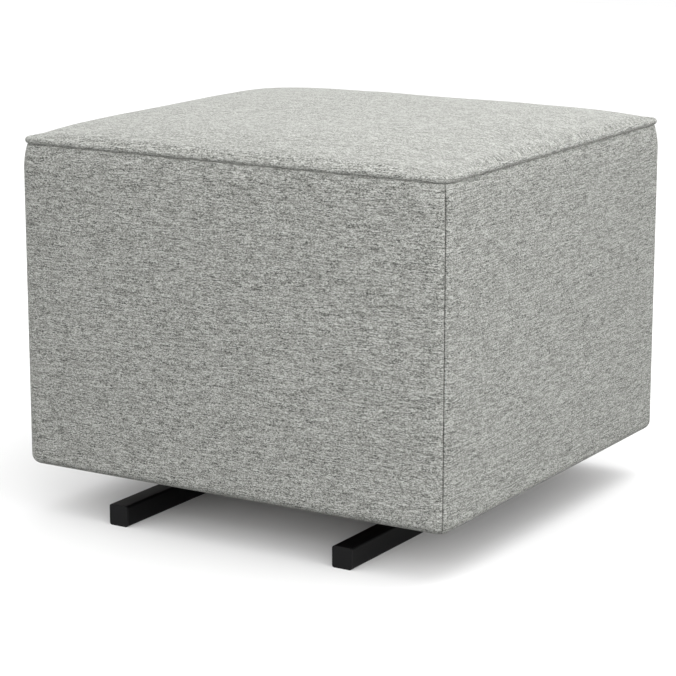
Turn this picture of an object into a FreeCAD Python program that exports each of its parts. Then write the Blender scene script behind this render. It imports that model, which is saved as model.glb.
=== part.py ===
# Glider ottoman: an upholstered box on four equal swing links above two floor rails.
# Frame: millimetres, +Z up, front face towards -Y, origin on the floor under the middle of the box.
# The seat glides front to back and stays level, because its four links form two parallelograms.

import FreeCAD, Part
import Sketcher
import math
import os

Vector = FreeCAD.Vector
os.makedirs("parts", exist_ok=True)
doc = FreeCAD.newDocument("glider_ottoman")
nodes = []

# Driving sizes, each written once, in millimetres and degrees.
SIZES = {
    # upholstered box, over the cover
    "body_width": 570,
    "body_depth": 543,
    "body_clearance": 58,
    "side_height": 388,
    "crown_rise": 20,
    "crown_fall": 9,
    "crown_round": 6.5,
    "corner_round": 18,
    "hem_round": 11,
    "hem_return": 17,
    "pinch_depth": 4,
    "pinch_height": 30,
    "pinch_round": 80,
    "welt_diameter": 7.5,
    "welt_flat": 0.15,
    "cover_thickness": 1.6,
    "padding_thickness": 8,
    "hem_padding": 3,
    "foam_height": 60,
    "soft_gap": 0.3,
    # wooden frame
    "panel_thickness": 12,
    "board_thickness": 12,
    "deck_thickness": 15,
    "deck_clearance": 11,
    "post_size": 34,
    "post_bevel": 20,
    "cleat_width": 20,
    "cleat_height": 30,
    "cloth_thickness": 0.8,
    # floor rails and what stands on them
    "rail_spacing": 306,
    "rail_size": 25.4,
    "rail_wall": 2,
    "rail_round": 3,
    "rail_setback": 4,
    "cap_thickness": 3,
    "cap_depth": 14,
    "cap_clearance": 0.1,
    "upright_inset": 3.7,
    "upright_thickness": 3,
    "upright_depth": 18,
    "upright_round": 4,
    "upright_toe": 28,
    "upright_heel": 64,
    "lobe_radius": 13,
    "foot_bolt_edge": 14,
    "tie_size": 25.4,
    "tie_offset": 20,
    "tie_height": 70,
    # swing links and their pivots
    "pivot_height": 180,
    "pivot_spacing": 220,
    "link_length": 100,
    "link_width": 18,
    "link_thickness": 5,
    "link_fillet": 6,
    "bead_width": 8,
    "bead_depth": 1.2,
    "eye_radius": 15,
    "glide_angle": 22,
    "bearing_diameter": 22,
    "bearing_width": 7,
    "bearing_ring": 2.2,
    "shield_recess": 0.6,
    "bearing_seat": 0.05,
    "pivot_diameter": 8,
    "pivot_clearance": 0.05,
    "side_clearance": 0.1,
    "spacer_length": 6,
    "spacer_diameter": 13,
    "pivot_head_height": 4,
    "pivot_head_diameter": 14,
    "pivot_head_bevel": 1,
    "pivot_socket": 5,
    "pivot_socket_depth": 2,
    "pivot_nut_height": 6.5,
    "pivot_nut_width": 13,
    "nut_collar_diameter": 11.6,
    "nut_collar_height": 1.6,
    "bolt_end": 1.5,
    "hole_clearance": 0.2,
    "bumper_diameter": 14,
    "bumper_length": 13,
    "bumper_bevel": 1.8,
    "bumper_stem": 6,
    "bumper_barb": 9,
    "stop_reach": 57,
    "stop_clearance": 0.5,
    # hangers and angles under the deck
    "hanger_thickness": 4,
    "hanger_width": 38,
    "hanger_eye": 13,
    "hanger_drop": 1,
    "angle_leg": 30,
    "angle_thickness": 3,
    "angle_length": 300,
    "angle_bolt_edge": 30,
    "rivet_diameter": 5,
    "rivet_head": 8,
    "rivet_head_height": 1.6,
    "rivet_drop": 12,
    "rivet_spread": 20,
    "mount_diameter": 6,
    "mount_head_width": 10,
    "mount_head_height": 4,
    "tee_flange": 19,
    "tee_flange_thickness": 1.5,
    "tee_barrel": 8,
    "tee_length": 9,
}

# Places worked out from the driving sizes.
PLACES = {
    "half_width": "Sizes.body_width / 2",
    "half_depth": "Sizes.body_depth / 2",
    "seam_height": "Sizes.body_clearance + Sizes.side_height",
    "side_top": "seam_height - Sizes.welt_diameter / 2 - Sizes.soft_gap",
    "top_base": "seam_height + Sizes.welt_diameter / 2 + Sizes.soft_gap",
    "side_layers": "Sizes.cover_thickness + Sizes.soft_gap + Sizes.padding_thickness",
    "frame_x": "half_width - side_layers",
    "frame_y": "half_depth - side_layers",
    "frame_round": "Sizes.corner_round - side_layers",
    "inner_x": "frame_x - Sizes.panel_thickness",
    "inner_y": "frame_y - Sizes.panel_thickness",
    "panel_base": "Sizes.body_clearance + Sizes.cover_thickness + Sizes.soft_gap + Sizes.hem_padding",
    "board_top": "top_base - Sizes.foam_height",
    "board_base": "board_top - Sizes.board_thickness",
    "deck_base": "Sizes.pivot_height + Sizes.eye_radius + Sizes.deck_clearance",
    "deck_top": "deck_base + Sizes.deck_thickness",
    "rail_x": "Sizes.rail_spacing / 2",
    "rail_end": "half_depth - Sizes.rail_setback - Sizes.cap_thickness",
    "pivot_y": "Sizes.pivot_spacing / 2",
    "lower_pivot": "Sizes.pivot_height - Sizes.link_length",
    "upright_x": "rail_x + Sizes.rail_size / 2 - Sizes.upright_inset",
    "web_x": "upright_x - Sizes.upright_thickness",
    "foot_bolt_x": "web_x - (Sizes.upright_depth - Sizes.upright_thickness) / 2",
    "link_in": "upright_x + Sizes.spacer_length + Sizes.side_clearance",
    "link_x": "link_in + Sizes.bearing_width / 2",
    "link_out": "link_in + Sizes.bearing_width",
    "hanger_x": "link_out + Sizes.side_clearance + Sizes.spacer_length",
    "angle_x": "hanger_x + Sizes.hanger_thickness",
    "angle_top": "deck_base - Sizes.cloth_thickness",
    "mount_x": "angle_x + (Sizes.angle_leg + Sizes.angle_thickness) / 2",
    "mount_y": "Sizes.angle_length / 2 - Sizes.angle_bolt_edge",
    "foot_z": "Sizes.rail_size - Sizes.pivot_height",
    "toe_bolt": "Sizes.foot_bolt_edge - Sizes.upright_toe",
    "heel_bolt": "Sizes.upright_heel - Sizes.foot_bolt_edge",
    "top_rise": "Sizes.crown_rise - Sizes.welt_diameter / 2 - Sizes.soft_gap",
    "dome_radius": "(half_width^2 + half_depth^2) / (2 * Sizes.crown_fall)",
    "stop_gap": "(Sizes.link_width + Sizes.bumper_diameter) / 2 + Sizes.stop_clearance",
    "welt_round": "(Sizes.welt_diameter - Sizes.welt_flat) / 2",
    "stop_y": "Sizes.stop_reach * sin(Sizes.glide_angle) + stop_gap * cos(Sizes.glide_angle)",
    "stop_z": "stop_gap * sin(Sizes.glide_angle) - Sizes.stop_reach * cos(Sizes.glide_angle)",
}


def make_sheet(name, cells):
    """A sheet with one alias for each cell of a dictionary."""
    sheet = doc.addObject("Spreadsheet::Sheet", name)
    for row, (alias, content) in enumerate(cells.items(), start=1):
        sheet.set(f"A{row}", alias)
        text = f"={content}" if isinstance(content, str) else str(content)
        sheet.set(f"B{row}", text)
        sheet.setAlias(f"B{row}", alias)
    doc.recompute()
    return sheet


sizes = make_sheet("Sizes", SIZES)
places = make_sheet("Places", PLACES)

# Coordinates closer than this are the same.
SAME = 1e-6
# The foot bolts of an upright, inwards from its pivot.
FOOT_BOLTS = ("Places.toe_bolt", "Places.heel_bolt")


def value(expression):
    """The present value of an expression on the sheets."""
    return float(places.evalExpression(str(expression)))


# Helpers for sketches.


def sketch_on(body, role, name, lift=None):
    """A sketch on one of the body's own origin planes, lifted along that plane's normal."""
    sketch = body.newObject("Sketcher::SketchObject", name)
    plane = [item for item in body.Origin.OriginFeatures if item.Role == role][0]
    sketch.AttachmentSupport = (plane, [""])
    sketch.MapMode = "FlatFace"
    if lift is not None:
        sketch.setExpression("AttachmentOffset.Base.z", lift)
    return sketch


def dimension(sketch, rules):
    """Adds constraints in one go; a rule is (kind, *where) or (kind, *where, expression as text)."""
    constraints = []
    formulas = []
    for rule in rules:
        if isinstance(rule[-1], str):
            formulas.append((sketch.ConstraintCount + len(constraints), rule[-1]))
            constraints.append(Sketcher.Constraint(*rule[:-1], value(rule[-1])))
        else:
            constraints.append(Sketcher.Constraint(*rule))
    sketch.addConstraint(constraints)
    for index, formula in formulas:
        sketch.setExpression(f"Constraints[{index}]", formula)


def circle(sketch, x, y, radius):
    """A circle with its centre and radius bound to expressions."""
    centre = Vector(value(x), value(y), 0)
    index = sketch.addGeometry(Part.Circle(centre, Vector(0, 0, 1), value(radius)))
    dimension(sketch, [("DistanceX", -1, 1, index, 3, x), ("DistanceY", -1, 1, index, 3, y),
                       ("Radius", index, radius)])


def outline(sketch, stops):
    """A closed line counter-clockwise round its stops: corners (x, y) or rounds (x, y, radius).

    The lines run tangent to every round, a hollow round has a negative radius, and each stop is bound
    to its expressions.
    """
    centres = [Vector(value(stop[0]), value(stop[1]), 0) for stop in stops]
    radii = [value(stop[2]) if len(stop) > 2 else 0.0 for stop in stops]
    count = len(stops)
    leave = [None] * count
    arrive = [None] * count
    for i in range(count):
        j = (i + 1) % count
        along = centres[j] - centres[i]
        cosine = (radii[i] - radii[j]) / along.Length
        along.normalize()
        outward = along * cosine + Vector(along.y, -along.x, 0) * math.sqrt(1 - cosine**2)
        leave[i] = centres[i] + outward * radii[i]
        arrive[j] = centres[j] + outward * radii[j]
    lines = sketch.addGeometry([Part.LineSegment(leave[i], arrive[(i + 1) % count]) for i in range(count)])
    rules = []
    for i, stop in enumerate(stops):
        before = lines[i - 1]
        if not radii[i]:
            rules += [("Coincident", before, 2, lines[i], 1), ("DistanceX", -1, 1, lines[i], 1, stop[0]),
                      ("DistanceY", -1, 1, lines[i], 1, stop[1])]
            continue
        spokes = (arrive[i] - centres[i], leave[i] - centres[i])
        turns = [math.atan2(spoke.y, spoke.x) for spoke in spokes]
        first, last = (1, 2) if radii[i] > 0 else (2, 1)
        if radii[i] < 0:
            turns.reverse()
        form = Part.Circle(centres[i], Vector(0, 0, 1), abs(radii[i]))
        arc = sketch.addGeometry(Part.ArcOfCircle(form, *turns))
        size = stop[2] if radii[i] > 0 else f"-({stop[2]})"
        rules += [("Tangent", before, 2, arc, first), ("Tangent", arc, last, lines[i], 1),
                  ("DistanceX", -1, 1, arc, 3, stop[0]), ("DistanceY", -1, 1, arc, 3, stop[1]),
                  ("Radius", arc, size)]
    dimension(sketch, rules)


def rounded_rectangle(sketch, half_x, half_y, radius):
    """A rectangle about the sketch's origin with four equal rounds."""
    x = f"({half_x}) - ({radius})"
    y = f"({half_y}) - ({radius})"
    outline(sketch, [(f"-({x})", f"-({y})", radius), (x, f"-({y})", radius),
                     (x, y, radius), (f"-({x})", y, radius)])


def rectangle(sketch, half_x, half_y):
    """A rectangle about the sketch's origin."""
    outline(sketch, [(f"-({half_x})", f"-({half_y})"), (half_x, f"-({half_y})"),
                     (half_x, half_y), (f"-({half_x})", half_y)])


def hexagon(sketch, width):
    """A hexagon about the sketch's origin, given its width across flats."""
    stops = []
    for corner in range(6):
        angle = 60 * corner
        stops.append((f"({width}) / sqrt(3) * cos({angle})", f"({width}) / sqrt(3) * sin({angle})"))
    outline(sketch, stops)


# Helpers for features and places.


def new_body(name):
    return doc.addObject("PartDesign::Body", name)


def refresh(*items):
    """Recomputes only what has just been set up."""
    for item in items:
        item.recompute()


def pad(body, sketch, length, middle=False, backwards=False):
    feature = body.newObject("PartDesign::Pad", f"{sketch.Name}_pad")
    feature.Profile = sketch
    feature.setExpression("Length", str(length))
    feature.Midplane = middle
    feature.Reversed = backwards
    refresh(sketch, feature, body)
    return feature


def pocket(body, sketch, length, middle=False, backwards=False):
    """A cut along the sketch's normal, checked to take material away."""
    before = body.Shape.Volume
    feature = body.newObject("PartDesign::Pocket", f"{sketch.Name}_cut")
    feature.Profile = sketch
    feature.setExpression("Length", str(length))
    feature.Midplane = middle
    feature.Reversed = backwards
    refresh(sketch, feature, body)
    if not body.Shape.Volume < before:
        raise ValueError(f"{body.Label}: {sketch.Name} cuts nothing")
    return feature


def turned(body, points):
    """A solid of revolution about the body's X axis, from a section of (x, radius) points."""
    section = sketch_on(body, "XZ_Plane", f"{body.Name}_section")
    outline(section, points)
    feature = body.newObject("PartDesign::Revolution", f"{body.Name}_turned")
    feature.Profile = section
    feature.ReferenceAxis = (section, ["H_Axis"])
    feature.Angle = 360
    refresh(section, feature, body)
    return feature


def fillet(body, feature, radius, test):
    """Rounds the edges of a feature that a test picks out."""
    names = [f"Edge{i}" for i, edge in enumerate(feature.Shape.Edges, start=1) if test(edge)]
    if not names:
        raise ValueError(f"{body.Label}: no edge to round")
    rounded = body.newObject("PartDesign::Fillet", f"{feature.Name}_round")
    rounded.Base = (feature, names)
    rounded.setExpression("Radius", radius)
    refresh(rounded, body)
    return rounded


def place(item, x, y, z, about_face=False):
    """Puts a piece at (x, y, z); about_face turns it half a turn about Z, for the left or front copy."""
    item.Placement = FreeCAD.Placement(Vector(), FreeCAD.Rotation(Vector(0, 0, 1), 180 if about_face else 0))
    for axis, expression in zip("xyz", (x, y, z)):
        item.setExpression(f"Placement.Base.{axis}", str(expression))
    return item


def block(name, low, high):
    """A box between two corners given as expressions."""
    box = doc.addObject("Part::Box", name)
    for size, least, most in zip(("Length", "Width", "Height"), low, high):
        box.setExpression(size, f"({most}) - ({least})")
    return place(box, *low)


def cut(name, base, tool):
    result = doc.addObject("Part::Cut", name)
    result.Base = base
    result.Tool = tool
    return result


def common(name, base, tool):
    result = doc.addObject("Part::Common", name)
    result.Base = base
    result.Tool = tool
    return result


def group(name, pieces):
    """Identical pieces kept as separate solids of one node."""
    result = doc.addObject("Part::Compound", name)
    result.Links = pieces
    return keep(result)


def keep(item):
    """Marks an object as a sub-part of the ottoman."""
    nodes.append(item)
    return item


# The four corners of the mechanism: name, side in x and end in y.
CORNERS = [(f"{end_name}_{side_name}", side, end)
           for end_name, end in (("front", -1), ("rear", 1))
           for side_name, side in (("left", -1), ("right", 1))]


# Base: two square floor rails with plastic caps in their ends.


def floor_rail(name, side):
    body = new_body(name)
    section = sketch_on(body, "XZ_Plane", f"{name}_section")
    half = "Sizes.rail_size / 2"
    rounded_rectangle(section, half, half, "Sizes.rail_round")
    rounded_rectangle(section, f"{half} - Sizes.rail_wall", f"{half} - Sizes.rail_wall",
                      "Sizes.rail_round - Sizes.rail_wall / 2")
    pad(body, section, "2 * Places.rail_end", middle=True)
    holes = sketch_on(body, "XY_Plane", f"{name}_holes", half)
    for end in (-1, 1):
        for inwards in FOOT_BOLTS:
            circle(holes, f"{side} * (Places.foot_bolt_x - Places.rail_x)",
                   f"{end} * (Places.pivot_y - {inwards})",
                   "Sizes.mount_diameter / 2 + Sizes.hole_clearance")
    pocket(body, holes, half)
    return keep(place(body, f"{side} * Places.rail_x", 0, half))


def rail_cap(name, side, end):
    """A square cover plate with a plug that fills the tube's bore."""
    body = new_body(name)
    half = "Sizes.rail_size / 2"
    plate = sketch_on(body, "XZ_Plane", f"{name}_plate")
    rounded_rectangle(plate, half, half, "Sizes.rail_round")
    face = pad(body, plate, "Sizes.cap_thickness", backwards=True)
    plug = sketch_on(body, "XZ_Plane", f"{name}_plug")
    bore = f"{half} - Sizes.rail_wall - Sizes.cap_clearance"
    rounded_rectangle(plug, bore, bore, "Sizes.rail_round - Sizes.rail_wall / 2")
    pad(body, plug, "Sizes.cap_depth")
    return place(body, f"{side} * Places.rail_x", f"{end} * Places.rail_end", half, about_face=end < 0)


for side_name, side in (("left", -1), ("right", 1)):
    floor_rail(f"{side_name}_floor_rail", side)
group("rail_end_caps", [rail_cap(f"{corner}_cap", side, end) for corner, side, end in CORNERS])


# Base: pressed uprights that stand on the rails and carry the upper pivots.


def upright(name, side, end):
    """A dished pressing: an ear for the pivot, a lobe for the bumper and a foot on the rail.

    Its own origin is the pivot, on the outer face of the web, with the dish open towards -X.
    """
    body = new_body(name)
    hand = -side * end
    stops = [("-Sizes.upright_toe", "Places.foot_z"), ("Sizes.upright_heel", "Places.foot_z"),
             ("Places.stop_y", "Places.stop_z", "Sizes.lobe_radius"), ("0", "0", "Sizes.eye_radius")]
    if hand < 0:
        stops = [(f"-({stop[0]})", *stop[1:]) for stop in reversed(stops)]
    shape = sketch_on(body, "YZ_Plane", f"{name}_outline")
    outline(shape, stops)
    blank = pad(body, shape, "Sizes.upright_depth", backwards=True)
    pressed = fillet(body, blank, "Sizes.upright_round", lambda edge: edge.BoundBox.XMin > -SAME)
    depth = value("Sizes.upright_depth")
    open_face = [f"Face{i}" for i, face in enumerate(pressed.Shape.Faces, start=1)
                 if face.BoundBox.XMax < SAME - depth]
    dish = body.newObject("PartDesign::Thickness", f"{name}_dish")
    dish.Base = (pressed, open_face)
    dish.setExpression("Value", "Sizes.upright_thickness")
    dish.Reversed = True
    dish.Join = 0
    refresh(dish, body)
    holes = sketch_on(body, "YZ_Plane", f"{name}_holes")
    circle(holes, "0", "0", "Sizes.pivot_diameter / 2 + Sizes.hole_clearance")
    circle(holes, f"{hand} * Places.stop_y", "Places.stop_z", "Sizes.bumper_stem / 2 + Sizes.hole_clearance")
    pocket(body, holes, "2 * Sizes.upright_thickness", middle=True)
    feet = sketch_on(body, "XY_Plane", f"{name}_feet", "Places.foot_z")
    across = "Places.foot_bolt_x - Places.upright_x"
    for inwards in FOOT_BOLTS:
        circle(feet, across, f"{hand} * {inwards}", "Sizes.mount_diameter / 2 + Sizes.hole_clearance")
    pocket(body, feet, "2 * Sizes.upright_thickness", middle=True)
    return keep(place(body, f"{side} * Places.upright_x", f"{end} * Places.pivot_y", "Sizes.pivot_height",
                      about_face=side < 0))


def tie_tube(name, end):
    """A square cross tube, welded into the dishes of the left and right uprights."""
    body = new_body(name)
    section = sketch_on(body, "YZ_Plane", f"{name}_section")
    half = "Sizes.tie_size / 2"
    rounded_rectangle(section, half, half, "Sizes.rail_round")
    rounded_rectangle(section, f"{half} - Sizes.rail_wall", f"{half} - Sizes.rail_wall",
                      "Sizes.rail_round - Sizes.rail_wall / 2")
    pad(body, section, "2 * Places.web_x", middle=True)
    return keep(place(body, 0, f"{end} * (Places.pivot_y - Sizes.tie_offset)", f"Sizes.tie_height + {half}"))


for corner, side, end in CORNERS:
    upright(f"{corner}_upright", side, end)
tie_tube("front_cross_tube", -1)
tie_tube("rear_cross_tube", 1)


# Fasteners: each kind is made once at its own origin and placed by a loop.


def hex_bolt(name, length):
    """An upright hexagon bolt: head below its origin, shank along +Z."""
    body = new_body(name)
    head = sketch_on(body, "XY_Plane", f"{name}_head")
    hexagon(head, "Sizes.mount_head_width")
    pad(body, head, "Sizes.mount_head_height", backwards=True)
    shank = sketch_on(body, "XY_Plane", f"{name}_shank")
    circle(shank, "0", "0", "Sizes.mount_diameter / 2")
    pad(body, shank, length)
    return body


def pivot_bolt(name, length):
    """A low-headed shoulder bolt: head at -X, shank along +X, hexagon socket in the head."""
    body = new_body(name)
    head = "Sizes.pivot_head_diameter / 2"
    bevel = "Sizes.pivot_head_bevel"
    shank = "Sizes.pivot_diameter / 2"
    turned(body, [("-Sizes.pivot_head_height", "0"), (length, "0"), (length, shank), ("0", shank),
                  ("0", head), (f"-Sizes.pivot_head_height + {bevel}", head),
                  ("-Sizes.pivot_head_height", f"{head} - {bevel}")])
    socket = sketch_on(body, "YZ_Plane", f"{name}_socket", "-Sizes.pivot_head_height")
    hexagon(socket, "Sizes.pivot_socket")
    pocket(body, socket, "Sizes.pivot_socket_depth", backwards=True)
    return body


def pivot_nut(name):
    """A lock nut along +X from its origin, with the round collar of its insert."""
    body = new_body(name)
    bore = "Sizes.pivot_diameter / 2 + Sizes.pivot_clearance"
    flats = sketch_on(body, "YZ_Plane", f"{name}_flats")
    hexagon(flats, "Sizes.pivot_nut_width")
    circle(flats, "0", "0", bore)
    pad(body, flats, "Sizes.pivot_nut_height - Sizes.nut_collar_height")
    collar = sketch_on(body, "YZ_Plane", f"{name}_collar")
    circle(collar, "0", "0", "Sizes.nut_collar_diameter / 2")
    circle(collar, "0", "0", bore)
    pad(body, collar, "Sizes.pivot_nut_height")
    return body


def spacer(name):
    """A plain bush along +X from its origin."""
    body = new_body(name)
    ring = sketch_on(body, "YZ_Plane", f"{name}_ring")
    circle(ring, "0", "0", "Sizes.spacer_diameter / 2")
    circle(ring, "0", "0", "Sizes.pivot_diameter / 2 + Sizes.hole_clearance")
    pad(body, ring, "Sizes.spacer_length")
    return body


def bumper(name):
    """A push-in rubber stop: round buffer along +X, stem through the web and a barbed end behind it."""
    body = new_body(name)
    stem = "Sizes.bumper_stem / 2"
    barb = "Sizes.bumper_barb / 2"
    back = "-Sizes.upright_thickness"
    edge = "Sizes.bumper_diameter / 2"
    bevel = "Sizes.bumper_bevel"
    turned(body, [(f"{back} - {stem}", "0"), ("Sizes.bumper_length", "0"),
                  ("Sizes.bumper_length", f"{edge} - {bevel}"), (f"Sizes.bumper_length - {bevel}", edge),
                  ("0", edge), ("0", stem), (back, stem), (back, barb), (f"{back} - {stem}", f"{stem} / 2")])
    return body


def upright_fasteners():
    """Foot bolts of the uprights, then bolt, spacer, nut and bumper of each upper pivot."""
    bolts = []
    for corner, side, end in CORNERS:
        for number, inwards in enumerate(FOOT_BOLTS, start=1):
            bolt = hex_bolt(f"{corner}_foot_bolt_{number}", "Sizes.rail_size / 2")
            place(bolt, f"{side} * Places.foot_bolt_x", f"{end} * (Places.pivot_y - {inwards})",
                  "Sizes.rail_size + Sizes.upright_thickness")
            bolt.Placement.Rotation = FreeCAD.Rotation(Vector(1, 0, 0), 180)
            bolts.append(bolt)
    group("upright_bolts", bolts)
    length = ("Sizes.bearing_width + 2 * Sizes.side_clearance + Sizes.spacer_length"
              " + Sizes.upright_thickness + Sizes.pivot_nut_height + Sizes.bolt_end")
    pieces = {"bolt": [], "spacer": [], "nut": [], "bumper": []}
    for corner, side, end in CORNERS:
        y = f"{end} * Places.pivot_y"
        bolt = pivot_bolt(f"{corner}_upper_bolt", length)
        head = f"{side} * (Places.link_out + Sizes.side_clearance)"
        pieces["bolt"].append(place(bolt, head, y, "Sizes.pivot_height", about_face=side > 0))
        bush = spacer(f"{corner}_upper_spacer")
        pieces["spacer"].append(place(bush, f"{side} * Places.upright_x", y, "Sizes.pivot_height",
                                      about_face=side < 0))
        nut = pivot_nut(f"{corner}_upper_nut")
        pieces["nut"].append(place(nut, f"{side} * Places.web_x", y, "Sizes.pivot_height",
                                   about_face=side > 0))
        stop = bumper(f"{corner}_bumper")
        pieces["bumper"].append(place(stop, f"{side} * Places.upright_x",
                                      f"{end} * (Places.pivot_y - Places.stop_y)",
                                      "Sizes.pivot_height + Places.stop_z", about_face=side < 0))
    group("upper_pivot_bolts", pieces["bolt"])
    group("upper_pivot_spacers", pieces["spacer"])
    group("upper_pivot_nuts", pieces["nut"])
    group("stop_bumpers", pieces["bumper"])


upright_fasteners()


# Swing links: four equal pressed bars, each with a ball bearing in either eye.


def swing_link(name, side, end):
    """A flat bar between two eyes, with a pressed bead down its middle. Its origin is the upper pivot."""
    body = new_body(name)
    half = "Sizes.link_width / 2"
    neck = f"sqrt(Sizes.eye_radius^2 - ({half})^2)"
    bottom = f"-Sizes.link_length + {neck}"
    bar = sketch_on(body, "YZ_Plane", f"{name}_bar")
    outline(bar, [(f"-{half}", bottom), (half, bottom), (half, f"-{neck}"), (f"-{half}", f"-{neck}")])
    pad(body, bar, "Sizes.link_thickness", middle=True)
    eyes = sketch_on(body, "YZ_Plane", f"{name}_eyes")
    for height in ("0", "-Sizes.link_length"):
        circle(eyes, "0", height, "Sizes.eye_radius")
    solid = pad(body, eyes, "Sizes.link_thickness", middle=True)
    necks = (value(bottom), value(f"-{neck}"))

    def at_neck(edge):
        box = edge.BoundBox
        along_x = box.XLength > SAME and max(box.YLength, box.ZLength) < SAME
        return along_x and min(abs(box.ZMin - height) for height in necks) < SAME

    fillet(body, solid, "Sizes.link_fillet", at_neck)
    seats = sketch_on(body, "YZ_Plane", f"{name}_seats")
    for height in ("0", "-Sizes.link_length"):
        circle(seats, "0", height, "Sizes.bearing_diameter / 2")
    pocket(body, seats, "2 * Sizes.link_thickness", middle=True)
    bead = [("0", "-Sizes.link_length + Sizes.eye_radius + Sizes.bead_width", "Sizes.bead_width / 2"),
            ("0", "-Sizes.eye_radius - Sizes.bead_width", "Sizes.bead_width / 2")]
    raised = sketch_on(body, "YZ_Plane", f"{name}_bead", "Sizes.link_thickness / 2")
    outline(raised, bead)
    pad(body, raised, "Sizes.bead_depth")
    hollow = sketch_on(body, "YZ_Plane", f"{name}_hollow", "-Sizes.link_thickness / 2")
    outline(hollow, bead)
    pocket(body, hollow, "Sizes.bead_depth", backwards=True)
    return keep(place(body, f"{side} * Places.link_x", f"{end} * Places.pivot_y", "Sizes.pivot_height",
                      about_face=side < 0))


def bearing(name):
    """A shielded ball bearing about X, with the shield let in between its two rings."""
    body = new_body(name)
    half = "Sizes.bearing_width / 2"
    bore = "Sizes.pivot_diameter / 2 + Sizes.pivot_clearance"
    rim = "Sizes.bearing_diameter / 2 - Sizes.bearing_seat"
    inner = f"{bore} + Sizes.bearing_ring"
    outer = f"{rim} - Sizes.bearing_ring"
    shield = f"{half} - Sizes.shield_recess"
    turned(body, [(f"-({half})", bore), (half, bore), (half, inner), (shield, inner), (shield, outer),
                  (half, outer), (half, rim), (f"-({half})", rim), (f"-({half})", outer),
                  (f"-({shield})", outer), (f"-({shield})", inner), (f"-({half})", inner)])
    return body


for corner, side, end in CORNERS:
    swing_link(f"{corner}_link", side, end)
    pair = []
    for level, height in (("upper", "Sizes.pivot_height"), ("lower", "Places.lower_pivot")):
        ring = bearing(f"{corner}_{level}_bearing")
        pair.append(place(ring, f"{side} * Places.link_x", f"{end} * Places.pivot_y", height))
    group(f"{corner}_bearings", pair)


# Seat: hanger straps at the lower pivots, riveted to an angle under each side of the deck.


def hanger(name, side, end):
    """A strap that narrows from its riveted top to the eye at the lower pivot, which is its origin."""
    body = new_body(name)
    top = "Places.angle_top - Sizes.hanger_drop - Places.lower_pivot"
    shape = sketch_on(body, "YZ_Plane", f"{name}_outline")
    outline(shape, [("0", "0", "Sizes.hanger_eye"), ("Sizes.hanger_width / 2", top),
                    ("-Sizes.hanger_width / 2", top)])
    circle(shape, "0", "0", "Sizes.pivot_diameter / 2 + Sizes.hole_clearance")
    for across in (-1, 1):
        circle(shape, f"{across} * Sizes.rivet_spread / 2",
               "Places.angle_top - Sizes.rivet_drop - Places.lower_pivot",
               "Sizes.rivet_diameter / 2 + Sizes.pivot_clearance")
    pad(body, shape, "Sizes.hanger_thickness")
    return keep(place(body, f"{side} * Places.hanger_x", f"{end} * Places.pivot_y", "Places.lower_pivot",
                      about_face=side < 0))


def seat_angle(name, side):
    """An angle bar: its upright leg takes the hangers and its flat leg bolts to the deck."""
    body = new_body(name)
    section = sketch_on(body, "XZ_Plane", f"{name}_section")
    outline(section, [("0", "-Sizes.angle_leg"), ("Sizes.angle_thickness", "-Sizes.angle_leg"),
                      ("Sizes.angle_thickness", "-Sizes.angle_thickness"),
                      ("Sizes.angle_leg", "-Sizes.angle_thickness"), ("Sizes.angle_leg", "0"), ("0", "0")])
    bar = pad(body, section, "Sizes.angle_length", middle=True)

    def at_heel(edge):
        box = edge.BoundBox
        return max(abs(box.XMin), abs(box.XMax), abs(box.ZMin), abs(box.ZMax)) < SAME

    fillet(body, bar, "Sizes.angle_thickness", at_heel)
    slots = sketch_on(body, "XY_Plane", f"{name}_holes")
    for step in (-1, 0, 1):
        circle(slots, "Places.mount_x - Places.angle_x", f"{step} * Places.mount_y",
               "Sizes.mount_diameter / 2 + Sizes.hole_clearance")
    pocket(body, slots, "2 * Sizes.angle_thickness", middle=True)
    rivets = sketch_on(body, "YZ_Plane", f"{name}_rivets")
    for end in (-1, 1):
        for across in (-1, 1):
            circle(rivets, f"{end} * Places.pivot_y + {across} * Sizes.rivet_spread / 2", "-Sizes.rivet_drop",
                   "Sizes.rivet_diameter / 2 + Sizes.pivot_clearance")
    pocket(body, rivets, "2 * Sizes.angle_thickness", middle=True)
    return keep(place(body, f"{side} * Places.angle_x", 0, "Places.angle_top", about_face=side < 0))


def rivet(name):
    """A domed rivet along +X through the hanger and the angle, with a flat set end."""
    body = new_body(name)
    shank = "Sizes.rivet_diameter / 2"
    head = "Sizes.rivet_head / 2"
    grip = "Sizes.hanger_thickness + Sizes.angle_thickness"
    rise = "Sizes.rivet_head_height"
    turned(body, [(f"-{rise}", "0"), (f"{grip} + {rise}", "0"), (f"{grip} + {rise}", shank),
                  (grip, head), (grip, shank), ("0", shank), ("0", head), (f"-{rise}", shank)])
    return body


def tee_nut(name):
    """A tee nut: flange on the deck, barrel down into it along -Z."""
    body = new_body(name)
    bore = "Sizes.mount_diameter / 2 + Sizes.pivot_clearance"
    flange = sketch_on(body, "XY_Plane", f"{name}_flange")
    circle(flange, "0", "0", "Sizes.tee_flange / 2")
    circle(flange, "0", "0", bore)
    pad(body, flange, "Sizes.tee_flange_thickness")
    barrel = sketch_on(body, "XY_Plane", f"{name}_barrel")
    circle(barrel, "0", "0", "Sizes.tee_barrel / 2")
    circle(barrel, "0", "0", bore)
    pad(body, barrel, "Sizes.tee_length", backwards=True)
    return body


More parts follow.
